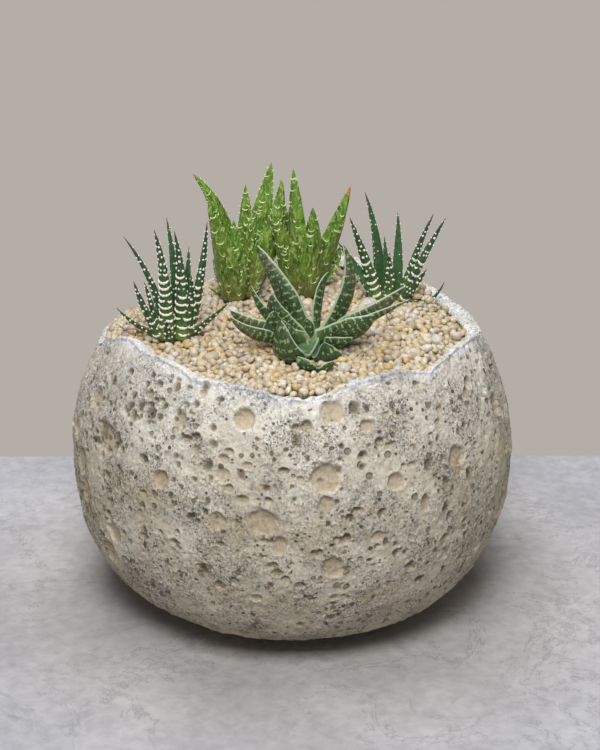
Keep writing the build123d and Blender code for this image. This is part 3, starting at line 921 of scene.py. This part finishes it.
def spread_stones(rng, count, small, large, fixed):
    """Places in the bowl's mouth for stones, pushed apart until they hardly overlap.

    Each push is away from the other stones, from the fixed rows of (x, y, radius), then in
    from the wall.  The 99 keeps a stone from being pushed by itself."""
    radius = small + (large - small) * rng.random(count) ** 1.6
    reach = MOUTH_RADIUS * np.sqrt(rng.random(count))
    turn = rng.random(count) * 2 * math.pi
    place = np.stack([reach * np.cos(turn), reach * np.sin(turn)], 1)
    for _ in range(PUSHES):
        gap = place[:, None] - place[None]
        distance = np.hypot(gap[..., 0], gap[..., 1]) + np.eye(count) * 99
        overlap = np.clip((radius[:, None] + radius[None]) * 0.93 - distance, 0, None)
        push = (gap / distance[..., None] * overlap[..., None]).sum(1) * 0.32
        gap = place[:, None] - fixed[None, :, :2]
        distance = np.hypot(gap[..., 0], gap[..., 1])
        overlap = np.clip(radius[:, None] * 0.8 + fixed[None, :, 2] - distance, 0, None)
        push += (gap / distance[..., None] * overlap[..., None]).sum(1)
        place = place + push
        far = np.hypot(place[:, 0], place[:, 1])
        edge = inner_radius(gravel_level(place[:, 0], place[:, 1]) + 2) - radius * 0.4
        place *= np.minimum(1, edge / np.maximum(far, 1e-6))[:, None]
    return place, radius


def leaf_samples():
    """Points and half widths along the bare part of every leaf, to keep stones out of it."""
    samples = []
    t = np.linspace(0, 0.8, 14)
    for plant in PLANTS.values():
        for group, leaves in plant.items():
            if group.endswith("leaves"):
                for row in leaves:
                    spine = LeafSpine(plant, row, 0.4)
                    half = spine.width / 2 * (1 - 0.6 * t)
                    samples.append(np.hstack([spine.points(t), half[:, None]]))
    samples = np.vstack(samples)
    return samples[samples[:, 2] > gravel_level(samples[:, 0], samples[:, 1]) + 1.0]


def spill_stones(rng, place, radius, height, spilled):
    """Moves that many of the stones onto the low stretch of the rim."""
    turn = np.radians(rng.uniform(114, 186, spilled))
    crest = rim_height(turn)
    reach = inner_radius(crest) + rng.uniform(-2.0, 3.5, spilled)
    place[:spilled] = np.stack([reach * np.cos(turn), reach * np.sin(turn)], 1)
    radius[:spilled] = rng.uniform(1.7, 2.6, spilled)
    height[:spilled] = crest + rng.uniform(0.0, 1.4, spilled)


# Layers of loose stones: (count, smallest and largest radius, height over the bed, unevenness,
# how many of them lie on the rim instead).
STONE_LAYERS = [(1500, 1.7, 3.1, 1.9, 0.8, 125), (1450, 1.5, 2.6, 0.2, 0.5, 0)]
QUARTERS = ("gravel_front_left", "gravel_front_right", "gravel_back_left", "gravel_back_right")


def make_gravel(material):
    """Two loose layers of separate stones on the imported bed, in four pieces by quarter."""
    rng = np.random.default_rng(4)
    crowns = [(*plant["at"], plant["crown"]) for plant in PLANTS.values()]
    fixed = np.array(crowns + LARGE_PEBBLES)
    leaves = leaf_samples()
    form, faces = sphere_form(2)
    weights = np.array([weight for _, weight in PALETTE], float)
    colours = np.array([colour for colour, _ in PALETTE])
    quarters = [Parts(tint=(1, 1, 1)) for _ in QUARTERS]
    for count, small, large, lift, uneven, spilled in STONE_LAYERS:
        place, radius = spread_stones(rng, count, small, large, fixed)
        turns = random_turns(rng, count)
        picks = rng.choice(len(colours), size=count, p=weights / weights.sum())
        shapes = rng.uniform((0.95, 0.72, 0.6), (1.3, 1.0, 0.85), size=(count, 3))
        height = gravel_level(place[:, 0], place[:, 1]) + lift + rng.uniform(-uneven, uneven, count)
        height += FRONT_RISE * smooth_step(56, 86, -place[:, 1])
        spill_stones(rng, place, radius, height, spilled)
        for i in range(count):
            centre = np.array([*place[i], height[i]])
            gap = np.linalg.norm(leaves[:, :3] - centre, axis=1) - leaves[:, 3] * 0.7
            if gap.min() < radius[i] * 0.5:
                continue    # it would run into a leaf
            lumpy = 1 + 0.16 * lattice_noise(form * 1.3 + i * 3.7, 91)
            lumpy += 0.07 * lattice_noise(form * 2.9 + i, 37)
            stone = (form * lumpy[:, None] * shapes[i] * radius[i]) @ turns[i].T
            stone[:, 2] *= 0.86
            tint = np.clip(colours[picks[i]] * rng.uniform(0.86, 1.1), 0, 1)
            quarter = 2 * int(place[i, 1] > 0) + int(place[i, 0] > 0)
            quarters[quarter].add(stone + centre, faces, tint=tint)
    for name, quarter in zip(QUARTERS, quarters):
        piece = quarter.build(name, material)


def make_large_pebbles(material):
    """The five larger pebbles, cream and ochre by turns."""
    form, faces = sphere_form(4)
    parts = Parts(tint=(1, 1, 1))
    for index, (x, y, radius) in enumerate(LARGE_PEBBLES):
        lumpy = 1 + 0.12 * lattice_noise(form * 1.4 + index * 5, 55)
        lumpy += 0.04 * lattice_noise(form * 4 + index, 56)
        stone = form * lumpy[:, None] * radius * np.array((1.05, 0.85, 0.75))
        cos, sin = math.cos(index * 1.1), math.sin(index * 1.1)
        stone = stone @ np.array([[cos, sin, 0], [-sin, cos, 0], [0, 0, 1]])
        tint = (0.80, 0.76, 0.68) if index % 2 == 0 else (0.70, 0.58, 0.42)
        parts.add(stone + np.array([x, y, gravel_level(x, y) + 2.2]), faces, tint=tint)
    piece = parts.build("loose_pebbles", material)
    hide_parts("large_pebbles")


# ---------------------------------------------------------------- leaves
LEAF_ROWS = 64
LEAF_COLUMNS = 32
LEAF_STEP = 7.0              # keeps the patterns of two leaves apart
SIDE_TURNS = (np.arange(8) / 8 * 2 * math.pi)[:, None]    # round a wart, band or tooth

# What the materials read at each point: the share of the length and the distance along the
# leaf, the distance across it and in from its margin, whether it is on the inner face, the
# leaf's own offset, and how white, rusty and brown it is.
LEAF_VALUES = {
    "along": 0.0, "along_mm": 0.0, "across_mm": 0.0, "margin_mm": 9.0, "inside": 0.0,
    "leaf": 0.0, "white": 0.0, "rust": 0.0, "brown": 0.0,
}


class LeafSpine:
    """A leaf's centre line, bent at its knee as in the CAD, with its side and lift directions."""

    def __init__(self, plant, row, thickness_share):
        x, y = plant["at"]
        centre = np.array([x, y, gravel_level(x, y) + plant["lift"]])
        knee = np.array(row[0:3], float)
        tip = np.array(row[3:6], float)
        self.width = row[6]
        self.thickness = row[6] * thickness_share
        roll = math.radians(row[7])
        outward = (knee / 2 + tip / 4) * (1, 1, 0)    # the leaf's foot lies on this side
        reach = np.linalg.norm(outward)
        self.foot = centre + outward / reach * min(plant["spread"], reach)
        self.knee = centre + knee
        self.tip = centre + tip
        chord = self.tip - self.foot
        self.length = np.linalg.norm(chord)
        side = unit(np.cross(chord, (0, 0, 1)))
        lift = np.cross(side, unit(chord))
        self.side = side * math.cos(roll) + lift * math.sin(roll)

    def start_at(self, t):
        """Leaves out the part below t, which is down in the gravel."""
        self.foot, self.knee = self.points(t), self.knee * (1 - t) + self.tip * t
        self.length = np.linalg.norm(self.tip - self.foot)

    def points(self, t):
        t = np.asarray(t, float)[..., None]
        return self.foot * (1 - t) ** 2 + self.knee * (2 * t * (1 - t)) + self.tip * t * t

    def frame(self, t):
        """Places and unit heading, side and lift directions at each t."""
        place = self.points(t)
        t = np.asarray(t, float)[..., None]
        heading = unit((self.knee - self.foot) * (1 - t) + (self.tip - self.knee) * t)
        side = unit(self.side - heading * (heading @ self.side)[..., None])
        return place, heading, side, np.cross(side, heading)


class LeafShape:
    """How the leaves of one kind of plant swell and taper, and the form of their section."""

    def __init__(self, width_at, thick_at, thickness_share, top_share, cup):
        self.width_at = width_at
        self.thick_at = thick_at
        self.thickness_share = thickness_share
        self.top_share = top_share
        self.cup = cup

    def section(self, spine, t, turn):
        """Distance across and rise of the skin, t along the leaf and turn round its section.

        The inner face is nearly flat, the outer face is full, and the margins curl in."""
        half = spine.width / 2 * self.width_at(t, spine.length)
        thick = spine.thickness * self.thick_at(t)
        up = np.sin(turn)
        full = np.where(up > 0, self.top_share * up, -(1 - self.top_share) * np.abs(up) ** 0.85)
        return half * np.cos(turn), full * thick + self.cup * half * np.cos(turn) ** 2

    def skin(self, spine, t, turn):
        place, _, side, lift = spine.frame(t)
        across, rise = self.section(spine, t, turn)
        return place + across[..., None] * side + rise[..., None] * lift


def add_leaf(parts, spine, shape, number, rusty=0.0, browned=0.0):
    """One closed leaf as a tube of lens sections, with values for its material."""
    t = 1 - (1 - np.linspace(0, 1, LEAF_ROWS)) ** 1.15
    turn = np.arange(LEAF_COLUMNS) / LEAF_COLUMNS * 2 * math.pi
    along, around = np.meshgrid(t, turn, indexing="ij")
    skin = shape.skin(spine, along, around).reshape(-1, 3)
    skin += (0.10 * layered_noise(skin, 5, 61, 2))[:, None] * np.array((1, 1, 0.4))
    ends, heading, _, _ = spine.frame(np.array([0.0, 1.0]))
    ends = ends + heading * np.array([[-0.5], [0.2]])
    across, _ = shape.section(spine, along, around)
    margin = spine.width / 2 * shape.width_at(along, spine.length) - np.abs(across)
    inside = smooth_step(-0.1, 0.15, np.sin(around))
    along = np.append(along, [0, 1])
    parts.add(
        np.vstack([skin, ends]),
        tube_triangles(LEAF_ROWS, LEAF_COLUMNS),
        along=along,
        along_mm=along * spine.length,
        across_mm=np.append(across, [0, 0]),
        margin_mm=np.append(margin, [0, 0]),
        inside=np.append(inside, [0, 0]),
        leaf=number * LEAF_STEP,
        rust=rusty * smooth_step(0.88, 0.97, along),
        brown=browned * smooth_step(0.45, 0.8, along),
    )


def add_rings(parts, rings, ends, spine, t, number, white):
    """A small closed form on leaf number, from rings of points and its two end points."""
    parts.add(
        np.vstack([rings.reshape(-1, 3), ends]),
        tube_triangles(*rings.shape[:2]),
        along=t,
        along_mm=t * spine.length,
        leaf=number * LEAF_STEP,
        white=white,
    )


def add_band(parts, spine, shape, t, low, high, radius, number, sag=0.0):
    """A raised white band or wart on the skin from one turn to another, thin at both ends.

    A positive sag lets its middle hang towards the foot, like a garland."""
    steps = max(4, int(abs(high - low) * 6) + 3)
    s = np.linspace(-1, 1, steps)
    where = np.clip(t + sag / spine.length * (s**2 - 0.5), 0, 0.985)
    path = shape.skin(spine, where, np.linspace(low, high, steps))
    _, heading, _, _ = spine.frame(where)
    out = unit(np.cross(unit(np.gradient(path, axis=0)), heading))
    thin = np.sqrt(np.clip(1 - s**4, 0.02, 1))
    thin *= 1 + 0.22 * np.sin(np.arange(steps) * 1.9 + 90 * t + number)
    rings = np.cos(SIDE_TURNS) * heading[:, None] + 0.8 * np.sin(SIDE_TURNS) * out[:, None]
    rings = path[:, None] + rings * (radius * thin)[:, None, None]
    run = unit(path[-1] - path[0]) * radius * 0.4
    add_rings(parts, rings, [path[0] - run, path[-1] + run], spine, t, number, 1.0)


def add_tooth(parts, spine, shape, t, turn, size, number):
    """A small horny tooth on the margin, hooked towards the leaf's tip."""
    at = np.array([t])
    base = shape.skin(spine, at, np.array([turn]))[0]
    _, heading, side, lift = (value[0] for value in spine.frame(at))
    out = math.cos(turn) * side + 0.4 * math.sin(turn) * lift
    s = np.linspace(0, 1, 6)[:, None]
    path = base + out * size * (1.1 * s - 0.25) + heading * size * (0.9 * s * s - 0.2)
    way = unit(np.gradient(path, axis=0))
    thick_way = np.cross(out, heading)
    wide_way = np.cross(way, thick_way)
    rings = 1.3 * np.cos(SIDE_TURNS) * wide_way[:, None] + 0.7 * np.sin(SIDE_TURNS) * thick_way
    rings = path[:, None] + rings * (size * (0.42 * (1 - s) ** 0.8 + 0.04))[:, None]
    ends = [path[0] - way[0] * 0.1, path[-1] + way[-1] * 0.05 * size]
    add_rings(parts, rings, ends, spine, t, number, 0.9)


def grow(name, material, shape, dress):
    """Both leaf groups of a plant: dress adds each leaf and what sits on it."""
    plant = PLANTS[name]
    number = 0
    for group, leaves in plant.items():
        if not group.endswith("leaves"):
            continue
        parts = Parts(**LEAF_VALUES)
        for row in leaves:
            spine = LeafSpine(plant, row, shape.thickness_share)
            dress(parts, spine, shape, number)
            number += 1
        piece = parts.build(f"{name}_{group}_detailed", material)
        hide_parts(f"{name}_{group}")


# Each kind of leaf has its width and its thickness at t, as shares of the largest.
def haworthia_width(t, length):
    body = np.clip(0.9 + 0.4 * t - 1.26 * np.clip(t, 0, 1) ** 1.4, 0, None)
    return body * np.clip((1 - t) / 0.1, 0, 1) ** 0.5


def haworthia_thick(t):
    return (1.05 - 0.25 * t) * np.clip(1 - t, 0, 1) ** 0.5


def make_haworthia(name, material, seed):
    rng = np.random.default_rng(seed)

    def dress(parts, spine, shape, number):
        """Garlands of white warts on the outer face: joined low down, single near the tip."""

        def band(t, low, high, radius, sag=0.0):
            add_band(parts, spine, shape, t, low, high, radius, number, sag)

        def wart(t, middle, reach, radius):
            band(t, middle - reach, middle + reach, radius)

        add_leaf(parts, spine, shape, number)
        spacing = rng.uniform(3.3, 3.8)
        low = math.pi + 0.25
        high = 2 * math.pi - 0.25
        for k in range(int(spine.length * 0.95 / spacing)):
            t = (k + 0.8 + rng.uniform(-0.12, 0.12)) * spacing / spine.length
            if t > 0.96:
                continue
            half = spine.width / 2 * float(haworthia_width(t, spine.length))
            if half > 2.7 and rng.random() < 0.8:
                cut = low + (high - low) * rng.uniform(0.3, 0.7)
                if rng.random() < 0.55:
                    band(t, low, high, rng.uniform(0.64, 0.86), 1.5)
                else:
                    band(t, low, cut - 0.18, rng.uniform(0.62, 0.84), 0.8)
                    band(t, cut + 0.18, high, rng.uniform(0.62, 0.84), 0.8)
            else:
                count = 3 if half > 2.2 else 2 if half > 1.2 else 1
                for index in range(count):
                    middle = low + (high - low) * (index + 0.5 + rng.uniform(-0.22, 0.22)) / count
                    size = rng.uniform(0.52, 0.76) * min(1, 0.6 + half / 5)
                    shift = rng.uniform(-0.9, 0.9) / spine.length
                    wart(t + shift, middle, min(0.45, size / max(half, 0.8)), size)
            for edge in (0.05, math.pi - 0.05):
                if rng.random() < 0.8:
                    wart(t + rng.uniform(-1.2, 1.2) / spine.length, edge, 0.18, 0.52)
            if rng.random() < 0.35:
                wart(t, math.pi * rng.uniform(0.25, 0.75), 0.16, 0.45)

    shape = LeafShape(haworthia_width, haworthia_thick, 0.44, 0.2, 0.0)
    grow(name, material, shape, dress)


# The aloes' leaves are a little broader than in the CAD.
def aloe_width(t, length):
    return np.where(t < 0.2, 0.74 + 1.5 * t, 1.04) * np.clip((1 - t) / 0.7, 0, 1) ** 0.8


def aloe_thick(t):
    return (1.05 - 0.3 * t) * np.clip((1 - t) / 0.4, 0, 1) ** 0.5


TOOTH_SPACING = 3.4


def make_aloe(name, material, seed, rusty):
    """One aloe; rusty is the number of a leaf with a rust-red tip, or None."""
    rng = np.random.default_rng(seed)

    def dress(parts, spine, shape, number):
        """Pale teeth along both margins and short pale crescents over both faces."""
        add_leaf(parts, spine, shape, number, rusty=float(number == rusty))
        rows = int(spine.length * 0.97 / TOOTH_SPACING)
        for k in range(1, rows):
            for edge in (0.0, math.pi):
                t = (k + rng.uniform(-0.25, 0.25)) / rows * 0.97
                size = rng.uniform(0.65, 1.15) * (0.7 + 0.3 * t)
                add_tooth(parts, spine, shape, t, edge + rng.uniform(-0.1, 0.1), size, number)
            half = spine.width / 2 * float(aloe_width(k / rows, spine.length))
            for face in (1.5 * math.pi, 0.5 * math.pi):
                for _ in range(2 if half > 3.5 else 1):
                    if rng.random() < 0.45:
                        continue
                    t = (k + rng.uniform(-0.5, 0.5)) / rows * 0.95
                    turn = face + rng.uniform(-1.0, 1.0)
                    reach = rng.uniform(1.0, 2.1) / max(half, 1.2)
                    radius = rng.uniform(0.28, 0.46)
                    add_band(parts, spine, shape, t, turn - reach, turn + reach, radius, number, 1.3)

    shape = LeafShape(aloe_width, aloe_thick, 0.40, 0.15, 0.18)
    grow(name, material, shape, dress)


def gasteria_width(t, length):
    taper = min(max(length / 85, 0.38), 0.72)
    return np.where(t < 0.35, 0.7 + 0.86 * t, 1.0) * np.clip((1 - t) / taper, 0, 1) ** 0.62


def gasteria_thick(t):
    return (1.1 - 0.35 * t) * np.clip(1 - t, 0, 1) ** 0.45


GASTERIA_BURIED = 15         # leaves from this number on come up out of the gravel


def make_gasteria(name, material):
    def dress(parts, spine, shape, number):
        """The long leaves brown towards their ends."""
        browned = 1.0 if spine.length > 40 else 0.0
        if number >= GASTERIA_BURIED:
            spine.start_at(0.45)
        add_leaf(parts, spine, shape, number, browned=browned)

    shape = LeafShape(gasteria_width, gasteria_thick, 0.34, 0.12, 0.16)
    grow(name, material, shape, dress)


# ---------------------------------------------------------------- carried-over CAD nodes
def dress_nodes(materials):
    """Gives each CAD node that stays its material."""
    for node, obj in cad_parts.items():
        for key, material in materials.items():
            if key in node:
                obj.data.materials.clear()
                obj.data.materials.append(material)


# ---------------------------------------------------------------- stage
TARGET_HEIGHT = 80.0         # on the bowl's axis
CAMERA_DISTANCE = 1000.0
CAMERA_ELEVATION = 24.0      # degrees
CAMERA_RAISED = 2.19406      # degrees that the camera looks above the target
CAMERA_TURNED = 0.264876     # degrees that it looks to the right of the target
LENS_MM = 90.3312
SENSOR_MM = 36.0             # high
FLOOR_BACK = 166.0
SKY_SHARE = 0.35             # brightness overhead, as a share of the backdrop's


def make_camera():
    elevation = math.radians(CAMERA_ELEVATION)
    data = bpy.data.cameras.new("camera")
    data.sensor_fit = "VERTICAL"
    data.sensor_height = SENSOR_MM
    data.lens = LENS_MM
    data.clip_end = 20
    camera = bpy.data.objects.new("camera", data)
    back = CAMERA_DISTANCE * math.cos(elevation)
    up = CAMERA_DISTANCE * math.sin(elevation)
    camera.location = Vector((0, -back, TARGET_HEIGHT + up)) * MM
    pitch = math.radians(90 - CAMERA_ELEVATION + CAMERA_RAISED)
    camera.rotation_euler = (pitch, 0, -math.radians(CAMERA_TURNED))
    bpy.context.scene.collection.objects.link(camera)
    bpy.context.scene.camera = camera


def floor_material():
    """Pale grey plaster with clouds, streaks and fine cracks, and a painted shadow that makes it
    darker and warmer near the bowl.
    """
    s = Shader("studio_floor")
    cloud = s.noise(120, 4, 0.6)
    fine = s.noise(7, 4, 0.6)
    streak = s.noise(26, 5, 0.7, distortion=1.2)
    colour = s.ramp(cloud, (0.40, (0.39, 0.395, 0.435)), (0.60, (0.49, 0.495, 0.54)))
    colour = s.shade(colour, s.ramp(fine, (0.35, 0.88), (0.65, 1.06)))
    colour = s.shade(colour, s.ramp(streak, (0.30, 0.86), (0.42, 1.0)))
    colour = s.shade(colour, s.ramp(s.plus(s.axis("Y"), 0.5), (0.50, 0.98), (0.66, 1.19)))
    cracks = s.noise(70, 7, 0.72, distortion=0.6)
    cracks = s.ramp(cracks, (0.486, 1.0), (0.50, 0.74), (0.514, 1.0))
    colour = s.mix(s.ramp(cloud, (0.42, 0), (0.52, 1)), colour, s.shade(colour, cracks))
    away = s.plus(s.math("POWER", s.axis("X"), 2.0), s.math("POWER", s.axis("Y"), 2.0))
    # Painted shadow: a darker, warmer tint round the bowl.
    painted_warm_shadow = s.ramp(s.times(away, 10.0), (0.08, 0.55), (0.45, 0))
    colour = s.mix(painted_warm_shadow, colour, s.shade(colour, (1.0, 0.93, 0.78)))
    s.set(Base_Color=colour, Roughness=0.8, Normal=s.bump(fine, 0.2), Specular_IOR_Level=0.2)
    return s.material


FLOOR_HALF_WIDTH = 2500.0
FLOOR_FRONT = 3500.0
BACKDROP = (0.462, 0.423, 0.381, 1)


def make_stage():
    """The floor, and a plain backdrop that is the world's own colour, dimmer overhead."""
    corners = (
        (-FLOOR_HALF_WIDTH, -FLOOR_FRONT), (FLOOR_HALF_WIDTH, -FLOOR_FRONT),
        (FLOOR_HALF_WIDTH, FLOOR_BACK), (-FLOOR_HALF_WIDTH, FLOOR_BACK),
    )
    mesh = bpy.data.meshes.new("floor")
    mesh.from_pydata([(x * MM, y * MM, 0) for x, y in corners], [], [(0, 1, 2, 3)])
    mesh.materials.append(floor_material())
    floor = bpy.data.objects.new("floor", mesh)
    bpy.context.scene.collection.objects.link(floor)
    world = bpy.data.worlds.new("backdrop")
    world.use_nodes = True
    nodes = world.node_tree.nodes
    links = world.node_tree.links
    split = nodes.new("ShaderNodeSeparateXYZ")
    links.new(nodes.new("ShaderNodeTexCoord").outputs["Generated"], split.inputs[0])
    fade = nodes.new("ShaderNodeMapRange")
    links.new(split.outputs["Z"], fade.inputs["Value"])
    fade.inputs["From Min"].default_value = -0.02
    fade.inputs["From Max"].default_value = 0.16
    fade.inputs["To Min"].default_value = 1.0
    fade.inputs["To Max"].default_value = SKY_SHARE
    nodes["Background"].inputs["Color"].default_value = BACKDROP
    links.new(fade.outputs["Result"], nodes["Background"].inputs["Strength"])
    scene = bpy.context.scene
    scene.world = world
    scene.view_settings.view_transform = "Standard"
    scene.view_settings.look = "None"


def add_light(name, place, aim, size, watts, colour=(1, 1, 1)):
    data = bpy.data.lights.new(name, "AREA")
    data.shape = "SQUARE"
    data.size = size
    data.energy = watts
    data.color = colour
    light = bpy.data.objects.new(name, data)
    light.location = place
    light.rotation_euler = (Vector(aim) - Vector(place)).to_track_quat("-Z", "Y").to_euler()
    bpy.context.scene.collection.objects.link(light)


def make_lights():
    middle = (0, 0, 0.1)
    add_light("key", (-0.06, -0.85, 1.15), middle, 0.5, 15.5, (1.0, 0.99, 0.97))
    add_light("top", (-0.05, 0.15, 1.35), middle, 0.8, 8.5)


# ---------------------------------------------------------------- everything
# Grained materials: (dark, light, grain in mm, bump in mm, roughness).
GRAINED = {
    "soil": ((0.018, 0.012, 0.008), (0.09, 0.06, 0.04), 2.2, 0.8, 0.98),
    "expanded_clay": ((0.20, 0.10, 0.06), (0.45, 0.26, 0.16), 3.5, 0.8, 0.95),
    "felt": ((0.03, 0.03, 0.03), (0.09, 0.09, 0.09), 0.6, 0.2, 0.98),
    "bung_rubber": ((0.012, 0.012, 0.012), (0.035, 0.035, 0.035), 1.2, 0.1, 0.7),
    "mesh_plastic": ((0.02, 0.02, 0.02), (0.05, 0.05, 0.05), 1.0, 0.1, 0.6),
    "packed_gravel": ((0.30, 0.22, 0.13), (0.66, 0.54, 0.38), 2.4, 1.2, 0.8),
}


def main():
    make_camera()
    make_stage()
    make_lights()
    gravel = gravel_material()
    haworthia = haworthia_material()
    aloe = aloe_material()
    gasteria = gasteria_material()
    grained = {name: grained_material(name, *values) for name, values in GRAINED.items()}
    dress_nodes({
        "soil": grained["soil"],
        "rootball": grained["soil"],
        "drainage_layer": grained["expanded_clay"],
        "foot_pads": grained["felt"],
        "drain_plug": grained["bung_rubber"],
        "drain_mesh": grained["mesh_plastic"],
        "gravel_bed": grained["packed_gravel"],
        "haworthia_left_crown": haworthia,
        "haworthia_right_crown": haworthia,
        "aloe_left_crown": aloe,
        "aloe_right_crown": aloe,
        "gasteria_crown": gasteria,
    })
    make_bowl(stone_material())
    make_gravel(gravel)
    make_large_pebbles(gravel)
    make_haworthia("haworthia_left", haworthia, 21)
    make_haworthia("haworthia_right", haworthia, 22)
    make_aloe("aloe_left", aloe, 31, None)
    make_aloe("aloe_right", aloe, 32, 0)
    make_gasteria("gasteria", gasteria)


main()
